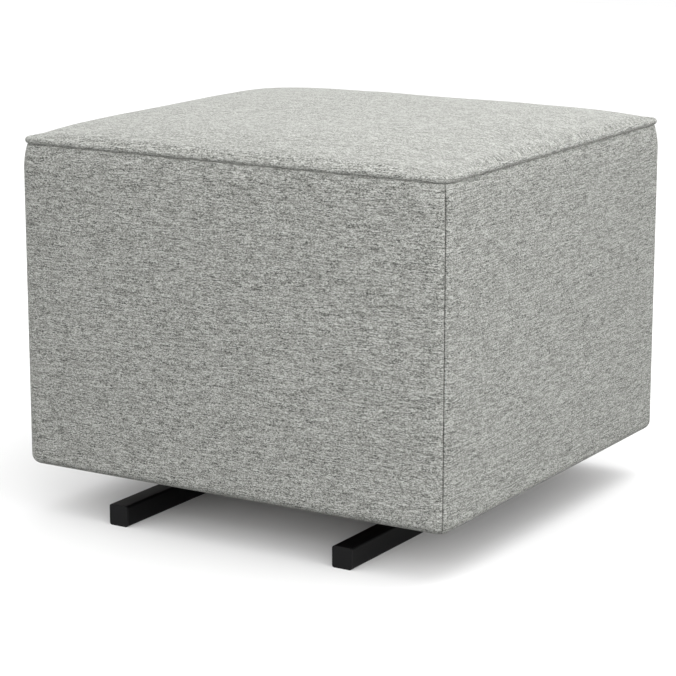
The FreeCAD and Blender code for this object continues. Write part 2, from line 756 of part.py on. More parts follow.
def seat_fasteners():
    """Rivets, lower pivot sets, deck bolts and tee nuts."""
    length = ("Sizes.bearing_width + 2 * Sizes.side_clearance + Sizes.spacer_length"
              " + Sizes.hanger_thickness + Sizes.pivot_nut_height + Sizes.bolt_end")
    pieces = {"rivet": [], "bolt": [], "spacer": [], "nut": []}
    for corner, side, end in CORNERS:
        y = f"{end} * Places.pivot_y"
        for number, across in enumerate((-1, 1), start=1):
            pin = rivet(f"{corner}_rivet_{number}")
            pieces["rivet"].append(place(pin, f"{side} * Places.hanger_x",
                                         f"{y} + {across} * Sizes.rivet_spread / 2",
                                         "Places.angle_top - Sizes.rivet_drop", about_face=side < 0))
        bolt = pivot_bolt(f"{corner}_lower_bolt", length)
        head = f"{side} * (Places.link_in - Sizes.side_clearance)"
        pieces["bolt"].append(place(bolt, head, y, "Places.lower_pivot", about_face=side < 0))
        bush = spacer(f"{corner}_lower_spacer")
        start = f"{side} * (Places.link_out + Sizes.side_clearance)"
        pieces["spacer"].append(place(bush, start, y, "Places.lower_pivot", about_face=side < 0))
        nut = pivot_nut(f"{corner}_lower_nut")
        pieces["nut"].append(place(nut, f"{side} * Places.angle_x", y, "Places.lower_pivot",
                                   about_face=side < 0))
    group("hanger_rivets", pieces["rivet"])
    group("lower_pivot_bolts", pieces["bolt"])
    group("lower_pivot_spacers", pieces["spacer"])
    group("lower_pivot_nuts", pieces["nut"])
    bolts = []
    nuts = []
    for side in (-1, 1):
        for step in (-1, 0, 1):
            number = 2 + step if side < 0 else 5 + step
            x = f"{side} * Places.mount_x"
            y = f"{step} * Places.mount_y"
            bolt = hex_bolt(f"mounting_bolt_{number}",
                            "Sizes.angle_thickness + Sizes.cloth_thickness + Sizes.deck_thickness")
            bolts.append(place(bolt, x, y, "Places.angle_top - Sizes.angle_thickness"))
            nuts.append(place(tee_nut(f"tee_nut_{number}"), x, y, "Places.deck_top"))
    group("mounting_bolts", bolts)
    group("tee_nuts", nuts)


for corner, side, end in CORNERS:
    hanger(f"{corner}_hanger", side, end)
seat_angle("left_seat_angle", -1)
seat_angle("right_seat_angle", 1)
seat_fasteners()


# Seat: plywood box with the mechanism deck let into it.


def drilled_board(name, half_x, half_y, low, thickness, radius):
    """A board with the six bolt holes of the angles."""
    body = new_body(name)
    shape = sketch_on(body, "XY_Plane", f"{name}_outline")
    rectangle(shape, half_x, half_y)
    for side in (-1, 1):
        for step in (-1, 0, 1):
            circle(shape, f"{side} * Places.mount_x", f"{step} * Places.mount_y", radius)
    pad(body, shape, thickness)
    return keep(place(body, 0, 0, low))


def corner_post(name, side, end):
    """A glue block in an inside corner, with its free corner bevelled off."""
    body = new_body(name)
    size = "Sizes.post_size"
    shape = sketch_on(body, "XY_Plane", f"{name}_section")
    outline(shape, [(f"-{size}", "0"), (f"-{size}", f"-{size} + Sizes.post_bevel"),
                    (f"-{size} + Sizes.post_bevel", f"-{size}"), ("0", f"-{size}"), ("0", "0")])
    pad(body, shape, "Places.board_base - Places.deck_top")
    turn = {(1, 1): 0, (-1, 1): 90, (-1, -1): 180, (1, -1): 270}[(side, end)]
    place(body, f"{side} * Places.inner_x", f"{end} * Places.inner_y", "Places.deck_top")
    body.Placement.Rotation = FreeCAD.Rotation(Vector(0, 0, 1), turn)
    return keep(body)


def long_panel(name, end):
    """A front or rear panel over the full width, with its two outer corners eased for the cover."""
    body = new_body(name)
    shape = sketch_on(body, "XY_Plane", f"{name}_section")
    centre = "Places.frame_x - Places.frame_round"
    height = "Sizes.panel_thickness - Places.frame_round"
    outline(shape, [("-Places.frame_x", "0"), ("Places.frame_x", "0"), (centre, height, "Places.frame_round"),
                    (f"-({centre})", height, "Places.frame_round")])
    pad(body, shape, "Places.board_base - Places.panel_base")
    return keep(place(body, 0, f"{end} * Places.inner_y", "Places.panel_base", about_face=end < 0))


def full_board(name, low, high):
    """A sheet over the whole frame, with the frame's eased corners."""
    body = new_body(name)
    shape = sketch_on(body, "XY_Plane", f"{name}_outline")
    rounded_rectangle(shape, "Places.frame_x", "Places.frame_y", "Places.frame_round")
    pad(body, shape, f"{high} - {low}")
    return keep(place(body, 0, 0, low))


def wooden_box():
    """Deck, four panels, corner posts, cleats, the board under the foam and the foam."""
    drilled_board("mechanism_deck", "Places.inner_x", "Places.inner_y", "Places.deck_base",
                  "Sizes.deck_thickness", "Sizes.tee_barrel / 2 + Sizes.pivot_clearance")
    drilled_board("dust_cover", "Places.inner_x - Sizes.soft_gap", "Places.inner_y - Sizes.soft_gap",
                  "Places.angle_top", "Sizes.cloth_thickness",
                  "Sizes.mount_diameter / 2 + Sizes.hole_clearance")
    long_panel("front_panel", -1)
    long_panel("rear_panel", 1)
    low = "Places.panel_base"
    high = "Places.board_base"
    keep(block("left_panel", ("-Places.frame_x", "-Places.inner_y", low),
               ("-Places.inner_x", "Places.inner_y", high)))
    keep(block("right_panel", ("Places.inner_x", "-Places.inner_y", low),
               ("Places.frame_x", "Places.inner_y", high)))
    for corner, side, end in CORNERS:
        corner_post(f"{corner}_corner_post", side, end)
    reach = "Places.inner_x - Sizes.post_size"
    for name, least, most in (("front_cleat", "-Places.inner_y", "-Places.inner_y + Sizes.cleat_width"),
                              ("rear_cleat", "Places.inner_y - Sizes.cleat_width", "Places.inner_y")):
        keep(block(name, (f"-({reach})", least, "Places.deck_top"),
                   (reach, most, "Places.deck_top + Sizes.cleat_height")))
    full_board("top_board", "Places.board_base", "Places.board_top")
    full_board("seat_foam", "Places.board_top", "Places.top_base")


wooden_box()


# Seat: sewn cover, welt and padding.


def side_panel(name, section, side):
    """A sewn side: its upright section along the straight, and turned to the mitre at both corners.

    The section is given in (distance in from the box's face, height). A side is front, right, rear or
    left, as quarter turns of the front one.
    """
    half, other = ("Places.half_width", "Places.half_depth")[::-1 if side % 2 else 1]
    body = new_body(name)
    straight = sketch_on(body, "YZ_Plane", f"{name}_section")
    outline(straight, section)
    pad(body, straight, f"2 * ({half} - Sizes.corner_round)", middle=True)
    for end in (-1, 1):
        corner = sketch_on(body, "YZ_Plane", f"{name}_corner_{'a' if end < 0 else 'b'}",
                           f"{end} * ({half} - Sizes.corner_round)")
        outline(corner, section)
        pivot = Vector(value("Sizes.corner_round"), 0, 0)
        axis = corner.addGeometry(Part.LineSegment(pivot, pivot + Vector(0, pivot.x, 0)), True)
        dimension(corner, [("Vertical", axis), ("DistanceX", -1, 1, axis, 1, "Sizes.corner_round"),
                           ("DistanceY", -1, 1, axis, 1, "0"),
                           ("DistanceY", axis, 1, axis, 2, "Sizes.corner_round")])
        turn = body.newObject("PartDesign::Revolution", f"{corner.Name}_turn")
        turn.Profile = corner
        turn.ReferenceAxis = (corner, ["Axis0"])
        turn.Angle = 45
        turn.Reversed = end < 0
        refresh(corner, turn, body)
    faces = ((0, f"-({other})"), (other, 0), (0, other), (f"-({other})", 0))[side]
    place(body, *faces, 0)
    body.Placement.Rotation = FreeCAD.Rotation(Vector(0, 0, 1), 90 * side)
    return keep(body)


def cover_section():
    """A strip of cover: return under the frame, rolled hem, straight face and drawn-in top."""
    base = "Sizes.body_clearance"
    thick = "Sizes.cover_thickness"
    hem = "Sizes.hem_round"
    bend = "Places.side_top - Sizes.pinch_height"
    return [("Sizes.hem_return", base), ("Sizes.hem_return", f"{base} + {thick}"),
            (hem, f"{base} + {hem}", f"{thick} - {hem}"),
            ("Sizes.pinch_round", bend, f"{thick} - Sizes.pinch_round"),
            (f"Sizes.pinch_depth + {thick}", "Places.side_top"), ("Sizes.pinch_depth", "Places.side_top"),
            ("Sizes.pinch_round", bend, "Sizes.pinch_round"), (hem, f"{base} + {hem}", hem)]


def padding_section():
    """Wadding between the cover and the frame, lapped under the panel's lower edge."""
    under = "(Sizes.cover_thickness + Sizes.soft_gap)"
    hem = "Sizes.hem_round"
    base = f"Sizes.body_clearance + {under}"
    return [("Sizes.hem_return", base), ("Sizes.hem_return", "Places.panel_base"),
            ("Places.side_layers", "Places.panel_base"), ("Places.side_layers", "Places.side_top"),
            (f"Sizes.pinch_depth + {under}", "Places.side_top"),
            ("Sizes.pinch_round", "Places.side_top - Sizes.pinch_height", f"Sizes.pinch_round - {under}"),
            (hem, f"Sizes.body_clearance + {hem}", f"{hem} - {under}")]


def crowned(name, layer):
    """The top above the welt, taken in by a layer: a shallow dome with its border rolled over."""
    body = new_body(f"{name}_border")
    shape = sketch_on(body, "XY_Plane", f"{name}_outline")
    inset = f"Sizes.pinch_depth + {layer}"
    rounded_rectangle(shape, f"Places.half_width - ({inset})", f"Places.half_depth - ({inset})",
                      f"Sizes.corner_round - ({layer})")
    pad(body, shape, "Places.top_rise")
    place(body, 0, 0, "Places.top_base")
    dome = doc.addObject("Part::Sphere", f"{name}_dome")
    dome.setExpression("Radius", f"Places.dome_radius - ({layer})")
    place(dome, 0, 0, "Places.top_base + Places.top_rise - Places.dome_radius")
    dome.Placement.Rotation = FreeCAD.Rotation(Vector(1, 0, 0), 90)
    cap = common(f"{name}_cap", body, dome)
    refresh(body, dome, cap)
    middle = value("Places.top_base + Places.top_rise / 4")
    rim = [i for i, edge in enumerate(cap.Shape.Edges, start=1) if edge.BoundBox.ZMin > middle]
    radius = value(f"Sizes.crown_round - ({layer})")
    rolled = doc.addObject("Part::Fillet", name)
    rolled.Base = cap
    rolled.Edges = [(i, radius, radius) for i in rim]
    refresh(rolled)
    return rolled


def soft_parts():
    """Covers and padding of the four sides, the crowned top and its wadding."""
    for side, side_name in enumerate(("front", "right", "rear", "left")):
        side_panel(f"{side_name}_padding", padding_section(), side)
        side_panel(f"{side_name}_cover", cover_section(), side)
    cloth = "Sizes.cover_thickness"
    keep(cut("top_cover", crowned("top_outside", "0"), crowned("top_inside", cloth)))
    keep(crowned("top_wadding", f"{cloth} + Sizes.soft_gap"))


def welt():
    """Self-covered piping round the top edge: a round nose with its seam allowance behind it."""
    body = new_body("welt")
    shape = sketch_on(body, "XY_Plane", "welt_outline")
    nose = "Sizes.pinch_depth / 2"
    rounded_rectangle(shape, f"Places.half_width - {nose}", f"Places.half_depth - {nose}",
                      f"Sizes.corner_round - {nose}")
    rounded_rectangle(shape, "Places.frame_x + Sizes.soft_gap", "Places.frame_y + Sizes.soft_gap",
                      "Places.frame_round + Sizes.soft_gap")
    band = pad(body, shape, "Sizes.welt_diameter", middle=True)
    corner_x = value("Places.half_width - Sizes.corner_round")
    corner_y = value("Places.half_depth - Sizes.corner_round")
    allowance = value("Places.frame_round + Sizes.soft_gap")

    def at_nose(edge):
        """True on the level edges that lie further out than the seam allowance."""
        point = edge.valueAt((edge.FirstParameter + edge.LastParameter) / 2)
        x = max(abs(point.x) - corner_x, 0)
        y = max(abs(point.y) - corner_y, 0)
        return edge.BoundBox.ZLength < SAME and math.hypot(x, y) > allowance + SAME

    fillet(body, band, "Places.welt_round", at_nose)
    return keep(place(body, 0, 0, "Places.seam_height"))


soft_parts()
welt()
doc.recompute()

# Every object has to be sound before anything is written.
for item in doc.Objects:
    if "Invalid" in item.State or "Error" in item.State:
        raise ValueError(f"{item.Label}: {item.State}")
for node in nodes:
    if node.Shape.isNull() or not node.Shape.isValid():
        raise ValueError(f"{node.Label}: no sound shape")
for node in nodes:
    node.Shape.exportStep(f"parts/{node.Label}.step")
print(f"{len(nodes)} sub-parts written")
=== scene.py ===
# %% [markdown]
# # A glider ottoman, dressed in Blender
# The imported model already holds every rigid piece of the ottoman, in its real place. This lesson
# loads it as a fixed frame, sews the soft pieces around it and gives every surface its finish.

# %% Load the frame
import math
import bmesh
import bpy
from mathutils import Matrix, Vector


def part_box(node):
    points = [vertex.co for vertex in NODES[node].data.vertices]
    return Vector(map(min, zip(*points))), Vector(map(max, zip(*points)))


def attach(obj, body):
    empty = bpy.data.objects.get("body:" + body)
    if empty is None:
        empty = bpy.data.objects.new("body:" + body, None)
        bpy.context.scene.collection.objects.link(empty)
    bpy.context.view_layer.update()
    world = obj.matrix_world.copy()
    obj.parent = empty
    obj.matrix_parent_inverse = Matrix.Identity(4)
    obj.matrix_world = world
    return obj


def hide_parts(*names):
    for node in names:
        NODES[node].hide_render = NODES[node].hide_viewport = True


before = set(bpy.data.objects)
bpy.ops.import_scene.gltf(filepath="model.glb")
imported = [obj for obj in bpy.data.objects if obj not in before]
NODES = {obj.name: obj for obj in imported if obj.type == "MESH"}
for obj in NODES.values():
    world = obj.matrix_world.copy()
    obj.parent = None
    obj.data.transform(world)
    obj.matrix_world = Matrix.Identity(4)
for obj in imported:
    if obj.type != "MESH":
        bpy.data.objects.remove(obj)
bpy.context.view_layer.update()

MM = 0.001

# %% [markdown]
# ## Sizes
# The soft pieces take their places from the solids they stand for, so nothing has to be fitted by
# eye. The four covers give the outside of the box, the welt gives the height of the top seam.

# %% Places read from the frame
front_low, front_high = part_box("front_cover")
right_low, right_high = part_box("right_cover")
welt_low, welt_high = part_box("welt")
HALF_X = right_high.x
HALF_Y = -front_low.y
HEM_Z = front_low.z
SIDE_TOP = front_high.z
SEAM_Z = (welt_low.z + welt_high.z) / 2
WELT_RADIUS = (welt_high.z - welt_low.z) / 2
BOARD_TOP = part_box("top_board")[1].z
PLAN_ROUND = 18 * MM
print("box half sizes", round(HALF_X, 4), round(HALF_Y, 4), "seam at", round(SEAM_Z, 4))

# %% [markdown]
# ## Helpers
# Finishes are made of nodes, so one function adds a node, sets it up and links its inputs. Sums,
# colour ramps, noise and bumps come up in every finish, so each has a short function on top of it.
# Colours are picked as sRGB hex, and Blender works in linear light, so one function turns them over.

# %% Material helpers
def linear(hex_colour):
    """An sRGB hex colour as linear red, green, blue and alpha."""
    channels = [int(hex_colour[i:i + 2], 16) / 255 for i in (1, 3, 5)]
    return tuple(c / 12.92 if c <= 0.04045 else ((c + 0.055) / 1.055) ** 2.4 for c in channels) + (1.0,)


def add(tree, kind, links=None, **settings):
    """Adds a node. Settings are its properties, links its inputs, each a value or another node's output."""
    node = tree.nodes.new(kind)
    for name, setting in settings.items():
        setattr(node, name, setting)
    for name, source in (links or {}).items():
        if isinstance(source, bpy.types.NodeSocket):
            tree.links.new(source, node.inputs[name])
        else:
            node.inputs[name].default_value = source
    return node


def calc(tree, operation, *values):
    """The result of one sum."""
    return add(tree, "ShaderNodeMath", dict(enumerate(values)), operation=operation).outputs[0]


def tone_ramp(tree, factor, stops):
    """A colour that follows the factor from stop to stop, each a place and its colour."""
    ramp = add(tree, "ShaderNodeValToRGB", {0: factor})
    elements = ramp.color_ramp.elements
    elements[0].position, elements[0].color = stops[0]
    elements[1].position, elements[1].color = stops[-1]
    for place, colour in stops[1:-1]:
        elements.new(place).color = colour
    return ramp.outputs["Color"]


def cloudy(tree, scale, detail):
    """Noise in the object's own space, from 0 to 1."""
    place = add(tree, "ShaderNodeTexCoord").outputs["Object"]
    return add(tree, "ShaderNodeTexNoise", {"Vector": place, "Scale": scale, "Detail": detail}).outputs["Fac"]


def ripple(tree, shader, height, strength, depth):
    """Bumps the surface by a pattern of heights."""
    bump = add(tree, "ShaderNodeBump", {"Height": height, "Strength": strength, "Distance": depth})
    tree.links.new(bump.outputs["Normal"], shader.inputs["Normal"])


def start_material(name, **surface):
    """A material with its Principled shader, whose sockets take the constants given here."""
    material = bpy.data.materials.new(name)
    material.use_nodes = True
    shader = material.node_tree.nodes["Principled BSDF"]
    for socket, setting in surface.items():
        shader.inputs[socket.replace("_", " ")].default_value = setting
    return material, material.node_tree, shader


def dress(obj, material):
    """Gives an object one finish on every slot. The slots are the object's own, so its mesh stays as it was."""
    if not obj.material_slots:
        obj.data.materials.append(material)
    for place in obj.material_slots:
        place.link = "OBJECT"
        place.material = material


# %% [markdown]
# New pieces start as a bmesh. The last step is always the same: it becomes a named object with its
# place in its mesh, smooth shading, a finish, and a body that it rides on.

# %% Piece helper
def finish_piece(name, bm, material, body, smooth=True):
    """Turns a bmesh into an object that rides on a body of the frame."""
    mesh = bpy.data.meshes.new(name)
    bm.to_mesh(mesh)
    bm.free()
    mesh.polygons.foreach_set("use_smooth", [smooth] * len(mesh.polygons))
    obj = bpy.data.objects.new(name, mesh)
    bpy.context.scene.collection.objects.link(obj)
    dress(obj, material)
    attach(obj, body)
    print(name, "has", len(mesh.polygons), "faces")
    return obj


# %% [markdown]
# ## The upholstery cloth
# The cover is a heather tweed: thick and thin yarns of light, middle and dark grey, spun together
# and woven so that short dashes of each colour lie along the weft. It could be a stretched noise,
# but noise makes clouds where a weave makes dashes. So each weft row is cut into floats of a random
# tone, in three lengths, which gives crisp dashes that lie along the cloth on every face. The rows
# wander by a millimetre or two, as real rows do. All sizes here are millimetres on the cloth.

# %% Tweed
YARN_PITCH = 0.7
FLOATS = ((1.0, 0.46), (2.2, 0.34), (11.0, 0.28))
ROW_SHIFT = 9.0
WANDER = 1.5
YARN_TONES = ((0.14, "#323331"), (0.36, "#6B6C68"), (0.56, "#93948F"), (0.74, "#AEAFAB"), (0.92, "#C8C9C5"))


def float_tone(tree, along, across, length, seed):
    """One random tone for each float of yarn, of this length in millimetres."""
    row = calc(tree, "FLOOR", across)
    start = add(tree, "ShaderNodeTexWhiteNoise", {"W": calc(tree, "ADD", row, seed)}, noise_dimensions="1D")
    place = calc(tree, "MULTIPLY", along, 1 / length)
    place = calc(tree, "MULTIPLY_ADD", start.outputs["Value"], ROW_SHIFT, place)
    cell = calc(tree, "FLOOR", place)
    key = add(tree, "ShaderNodeCombineXYZ", {"X": cell, "Y": row, "Z": seed}).outputs[0]
    return add(tree, "ShaderNodeTexWhiteNoise", {"Vector": key}, noise_dimensions="3D").outputs["Value"]


def tweed(name):
    """Heather tweed, woven: matt, with a soft sheen and a fine nap."""
    material, tree, shader = start_material(name, Roughness=0.93, Sheen_Weight=0.18, Sheen_Roughness=0.45)
    shader.inputs["Specular IOR Level"].default_value = 0.25
    shader.inputs["Sheen Tint"].default_value = linear("#E6E7E1")
    cloth = add(tree, "ShaderNodeUVMap", uv_map="cloth").outputs["UV"]
    cloth = add(tree, "ShaderNodeVectorMath", {0: cloth, "Scale": 1000.0}, operation="SCALE").outputs[0]
    wander = add(tree, "ShaderNodeTexNoise", {"Vector": cloth, "Scale": 0.03, "Detail": 1.0}).outputs["Color"]
    wander = add(tree, "ShaderNodeVectorMath", {0: wander, "Scale": WANDER}, operation="SCALE").outputs[0]
    cloth = add(tree, "ShaderNodeVectorMath", {0: cloth, 1: wander}, operation="ADD").outputs[0]
    parts = add(tree, "ShaderNodeSeparateXYZ", {0: cloth})
    along = parts.outputs["X"]
    across = calc(tree, "MULTIPLY", parts.outputs["Y"], 1 / YARN_PITCH)
    total = 0.0
    for seed, (length, share) in enumerate(FLOATS):
        tone = float_tone(tree, along, across, length, 31.0 * (seed + 1))
        total = calc(tree, "MULTIPLY_ADD", tone, share, total)
    colour = tone_ramp(tree, total, [(place, linear(tone)) for place, tone in YARN_TONES])
    tree.links.new(colour, shader.inputs["Base Color"])
    ripple(tree, shader, total, 0.35, 0.35 * MM)
    return material


TWEED = tweed("heather_tweed_woven")
print("cloth:", len(TWEED.node_tree.nodes), "nodes")

# %% [markdown]
# ## A sewn pad
# Each soft piece is a closed form: an outer skin of cloth and a back that lies on the frame. Both
# start as one flat grid. A grid is easy to bend into a rolled edge when its rows and columns lie
# where the shape needs them, so the helper takes lists of places and not a count.

# %% Grid helper
def cloth_grid(columns, rows, place, flat):
    """A grid with a corner at each column and row.

    place gives a corner's point in space, and flat gives its point on the unstretched cloth.
    """
    bm = bmesh.new()
    bmesh.ops.create_grid(bm, x_segments=len(columns) - 1, y_segments=len(rows) - 1, size=0.5)
    cloth = bm.loops.layers.uv.new("cloth")
    spots = {}
    for vertex in bm.verts:
        i = round((vertex.co.x + 0.5) * (len(columns) - 1))
        j = round((vertex.co.y + 0.5) * (len(rows) - 1))
        spots[vertex] = flat(columns[i], rows[j])
        vertex.co = place(columns[i], rows[j])
    for face in bm.faces:
        for loop in face.loops:
            loop[cloth].uv = spots[loop.vert]
    return bm


def back_with(bm, inward):
    """Closes a skin with a back, joined to it all round the edge. inward holds a place for each corner."""
    skin_edge = [edge for edge in bm.edges if edge.is_boundary]
    copy = bmesh.ops.duplicate(bm, geom=bm.faces[:])
    back = [part for part in copy["geom"] if isinstance(part, bmesh.types.BMVert)]
    for vertex, spot in zip(back, inward):
        vertex.co = spot
    bmesh.ops.reverse_faces(bm, faces=[part for part in copy["geom"] if isinstance(part, bmesh.types.BMFace)])
    back_edge = [part for part in copy["geom"] if isinstance(part, bmesh.types.BMEdge) and part.is_boundary]
    bmesh.ops.bridge_loops(bm, edges=skin_edge + back_edge)
    bmesh.ops.remove_doubles(bm, verts=back, dist=0.01 * MM)
    bmesh.ops.recalc_face_normals(bm, faces=bm.faces[:])


def steps(start, end, spacing):
    """Evenly spaced numbers from start to end, about spacing apart, without the end."""
    count = max(1, round(abs(end - start) / spacing))
    return [start + (end - start) * i / count for i in range(count)]


# %% [markdown]
# Cloth over foam is never quite the drawn shape: it is tight at the seams and swells between them.
# Blender's cloth simulation finds that shape. The seams are pinned, the pressure of the filling
# pushes the rest out for 20 frames, and a cap keeps it close to the solid it stands for.

# %% Swell helper
SWELL_FRAMES = 20


def swell(obj, pinned, pressure, cap):
    """Lets the filling push the cloth out between its pinned seams, by no more than cap.

    pinned holds a weight for each corner of the skin. The back, which comes after it, is pinned too.
    """
    pinned = pinned + [1.0] * (len(obj.data.vertices) - len(pinned))
    scene = bpy.context.scene
    seams = obj.vertex_groups.new(name="seams")
    for weight in sorted(set(pinned)):
        seams.add([i for i, w in enumerate(pinned) if w == weight], weight, "REPLACE")
    modifier = obj.modifiers.new("swell", "CLOTH")
    cloth = modifier.settings
    cloth.quality = 5
    cloth.mass = 0.35
    cloth.tension_stiffness = 40
    cloth.compression_stiffness = 40
    cloth.shear_stiffness = 12
    cloth.bending_stiffness = 1.5
    cloth.vertex_group_mass = "seams"
    cloth.use_pressure = True
    cloth.uniform_pressure_force = pressure
    cloth.effector_weights.gravity = 0
    modifier.collision_settings.use_collision = False
    modifier.point_cache.frame_start = 1
    modifier.point_cache.frame_end = SWELL_FRAMES
    for frame_number in range(1, SWELL_FRAMES + 1):
        scene.frame_set(frame_number)
    swollen = obj.evaluated_get(bpy.context.evaluated_depsgraph_get()).to_mesh()
    moves = [after.co - before.co for before, after in zip(obj.data.vertices, swollen.vertices)]
    most = max(move.length for move in moves)
    share = min(1.0, cap / max(most, 1e-9))
    for vertex, move in zip(obj.data.vertices, moves):
        vertex.co += move * share
    obj.modifiers.remove(modifier)
    scene.frame_set(1)
    print(obj.name, "swelled by", round(most / MM, 2), "mm, of which", round(share, 2), "is kept")


# %% [markdown]
# ## The crowned top
# The top is a foam block under wadding and cloth. It leaves the welt at a slant, rolls over within
# two centimetres and rises gently from there to the middle. The foam is softest at the corners, so
# the roll is lowest there. One closed pad stands for the cover, the wadding and the foam, and its
# back lies on the board.

# %% Shape of the top
TOP_INSET = 5.0 * MM
TOP_START = SEAM_Z + 1.2 * MM
ROLL_RISE = 9.0 * MM
ROLL_WIDTH = 19.0 * MM
ROLL_TIGHTNESS = 2.4
DOME_RISE = 7.0 * MM
DOME_FULLNESS = 0.5
CORNER_SINK = 0.85
CORNER_REACH = 4
ROLL_STRETCH = 0.15
BACK_DRAW = 4.5 * MM
PINNED_BORDER = 7 * MM
PINNED_RISE = 9 * MM
TOP_PRESSURE, TOP_SWELL = 3.0, 5 * MM
TOP_X = HALF_X - TOP_INSET
TOP_Y = HALF_Y - TOP_INSET
TOP_ROUND = PLAN_ROUND - TOP_INSET + 4 * MM


def rounded_plan(x, y, half_x, half_y, radius):
    """Moves a point of a rectangle into one with round corners, and gives its distance from the edge."""
    over_x, over_y = max(abs(x) - half_x + radius, 0), max(abs(y) - half_y + radius, 0)
    if over_x == 0 or over_y == 0:
        return x, y, min(half_x - abs(x), half_y - abs(y))
    draw = max(over_x, over_y) / math.hypot(over_x, over_y)
    over_x, over_y = over_x * draw, over_y * draw
    x = math.copysign(half_x - radius + over_x, x)
    y = math.copysign(half_y - radius + over_y, y)
    return x, y, radius - math.hypot(over_x, over_y)


def top_height(x, y, inside):
    """Height of the crown over a point of the plan: the rolled border, then the dome."""
    t = min(1.0, max(0.0, inside / ROLL_WIDTH))
    share_x, share_y = abs(x) / TOP_X, abs(y) / TOP_Y
    full = 1 - CORNER_SINK * (share_x * share_y) ** CORNER_REACH
    roll = ROLL_RISE * full * (1 - (1 - t) ** ROLL_TIGHTNESS)
    dome = DOME_RISE * (max(0.0, 1 - share_x ** 2) * max(0.0, 1 - share_y ** 2)) ** DOME_FULLNESS
    return TOP_START + roll + dome


def top_place(x, y):
    """A corner of the flat grid, set on the crown."""
    plan_x, plan_y, inside = rounded_plan(x, y, TOP_X, TOP_Y, TOP_ROUND)
    return Vector((plan_x, plan_y, top_height(plan_x, plan_y, inside)))


def border_places(half):
    """Places from -half to half: close together in the rolled border, wider in the middle."""
    edge = [0.0, 0.4, 1.2, 2.4, 3.9, 5.6, 7.6, 9.8, 12.4, 15.5, 19.4, 24.2]
    outer = [half - e * MM for e in edge]
    inner = steps(outer[-1], 0.0, 6.5 * MM)[1:]
    side = outer + inner
    return [-v for v in side] + [0.0] + side[::-1]


def cloth_flat(x, y):
    """The cloth's own measure: the rolled border takes more cloth than its plan shows."""
    def spread(v, half):
        over = max(abs(v) - half + ROLL_WIDTH, 0)
        return v + math.copysign(over * ROLL_STRETCH, v)
    return spread(x, TOP_X), spread(y, TOP_Y)


# %% Sew the top
def make_top():
    columns, rows = border_places(TOP_X), border_places(TOP_Y)
    bm = cloth_grid(columns, rows, top_place, cloth_flat)
    scale_x, scale_y = (TOP_X - BACK_DRAW) / TOP_X, (TOP_Y - BACK_DRAW) / TOP_Y
    back, pinned = [], []
    for vertex in bm.verts:
        back.append(Vector((vertex.co.x * scale_x, vertex.co.y * scale_y, BOARD_TOP + 0.3 * MM)))
        inside = min(TOP_X - abs(vertex.co.x), TOP_Y - abs(vertex.co.y))
        pinned.append(1.0 if inside < PINNED_BORDER or vertex.co.z < TOP_START + PINNED_RISE else 0.0)
    back_with(bm, back)
    obj = finish_piece("top_pad", bm, TWEED, "seat")
    swell(obj, pinned, TOP_PRESSURE, TOP_SWELL)
    level = obj.modifiers.new("smooth cloth", "SUBSURF")
    level.levels = level.render_levels = 1
    level.boundary_smooth = "PRESERVE_CORNERS"
    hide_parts("top_cover", "top_wadding", "seat_foam")
    return obj


top_pad = make_top()

# %% [markdown]
# ## The four sides
# Each side is a panel of cloth over thin wadding. It is drawn in under the welt, bellies back out
# within three centimetres, runs straight down and rolls under at the hem. Its two upright edges go
# round half of a corner each and turn in to a seam, where the cloth of both panels dips.

# %% Profile of a side
PINCH = 4.0 * MM
PINCH_HEIGHT = 30 * MM
HEM_ROUND = 11 * MM
HEM_RETURN = 17 * MM
BACK_INSET = 9.3 * MM
EDGE_ROLL = 2.6 * MM
BACK_LIFT = 3.9 * MM
PINNED_TOP = 12 * MM
SIDE_PRESSURE, SIDE_SWELL = 1.0, 1.5 * MM


def side_profile():
    """(inset, height) of the cloth from the hem's end to the top seam, and of the pad's back."""
    outer = [(HEM_RETURN, HEM_Z + 0.2 * MM)]
    outer += [(HEM_RETURN - 2.0 * MM, HEM_Z), (HEM_ROUND + 1 * MM, HEM_Z)]
    for i in range(9):
        turn = math.radians(90 * i / 8)
        outer.append((HEM_ROUND * (1 - math.sin(turn)), HEM_Z + HEM_ROUND * (1 - math.cos(turn))))
    bend = SIDE_TOP - PINCH_HEIGHT
    outer += [(0.0, z) for z in steps(HEM_Z + HEM_ROUND, bend, 6 * MM)[1:]]
    top = SIDE_TOP - EDGE_ROLL
    for z in steps(bend, top, 3 * MM):
        outer.append((PINCH * ((z - bend) / (top - bend)) ** 2, z))
    for i in range(6):
        turn = math.radians(90 * i / 5)
        outer.append((PINCH + EDGE_ROLL * (1 - math.cos(turn)), top + EDGE_ROLL * math.sin(turn)))
    low = HEM_Z + BACK_LIFT
    back = [(max(inset, BACK_INSET), min(max(z, low), SIDE_TOP - 1.2 * MM)) for inset, z in outer]
    return outer, back


SIDE_OUTER, SIDE_BACK = side_profile()
print("side profile:", len(SIDE_OUTER), "points")

# %% Path of a side in plan
SEAM_ROLL = 1.7 * MM
SEAM_DEPTH = 5.0 * MM


def side_stations(straight):
    """(distance from the panel's middle, dip) across half a side, from the middle to its corner seam."""
    quarter = PLAN_ROUND * math.pi / 4
    end = straight + quarter
    spots = [(v, 0.0) for v in steps(0.0, straight, 6.5 * MM)]
    spots += [(v, 0.0) for v in steps(straight, end - SEAM_ROLL, 2 * MM)]
    for i in range(6):
        turn = math.radians(90 * i / 5)
        spots.append((end - SEAM_ROLL * (1 - math.sin(turn)), SEAM_ROLL * (1 - math.cos(turn))))
    spots.append((end, SEAM_ROLL + (SEAM_DEPTH - SEAM_ROLL) / 2))
    spots.append((end, SEAM_DEPTH))
    return spots


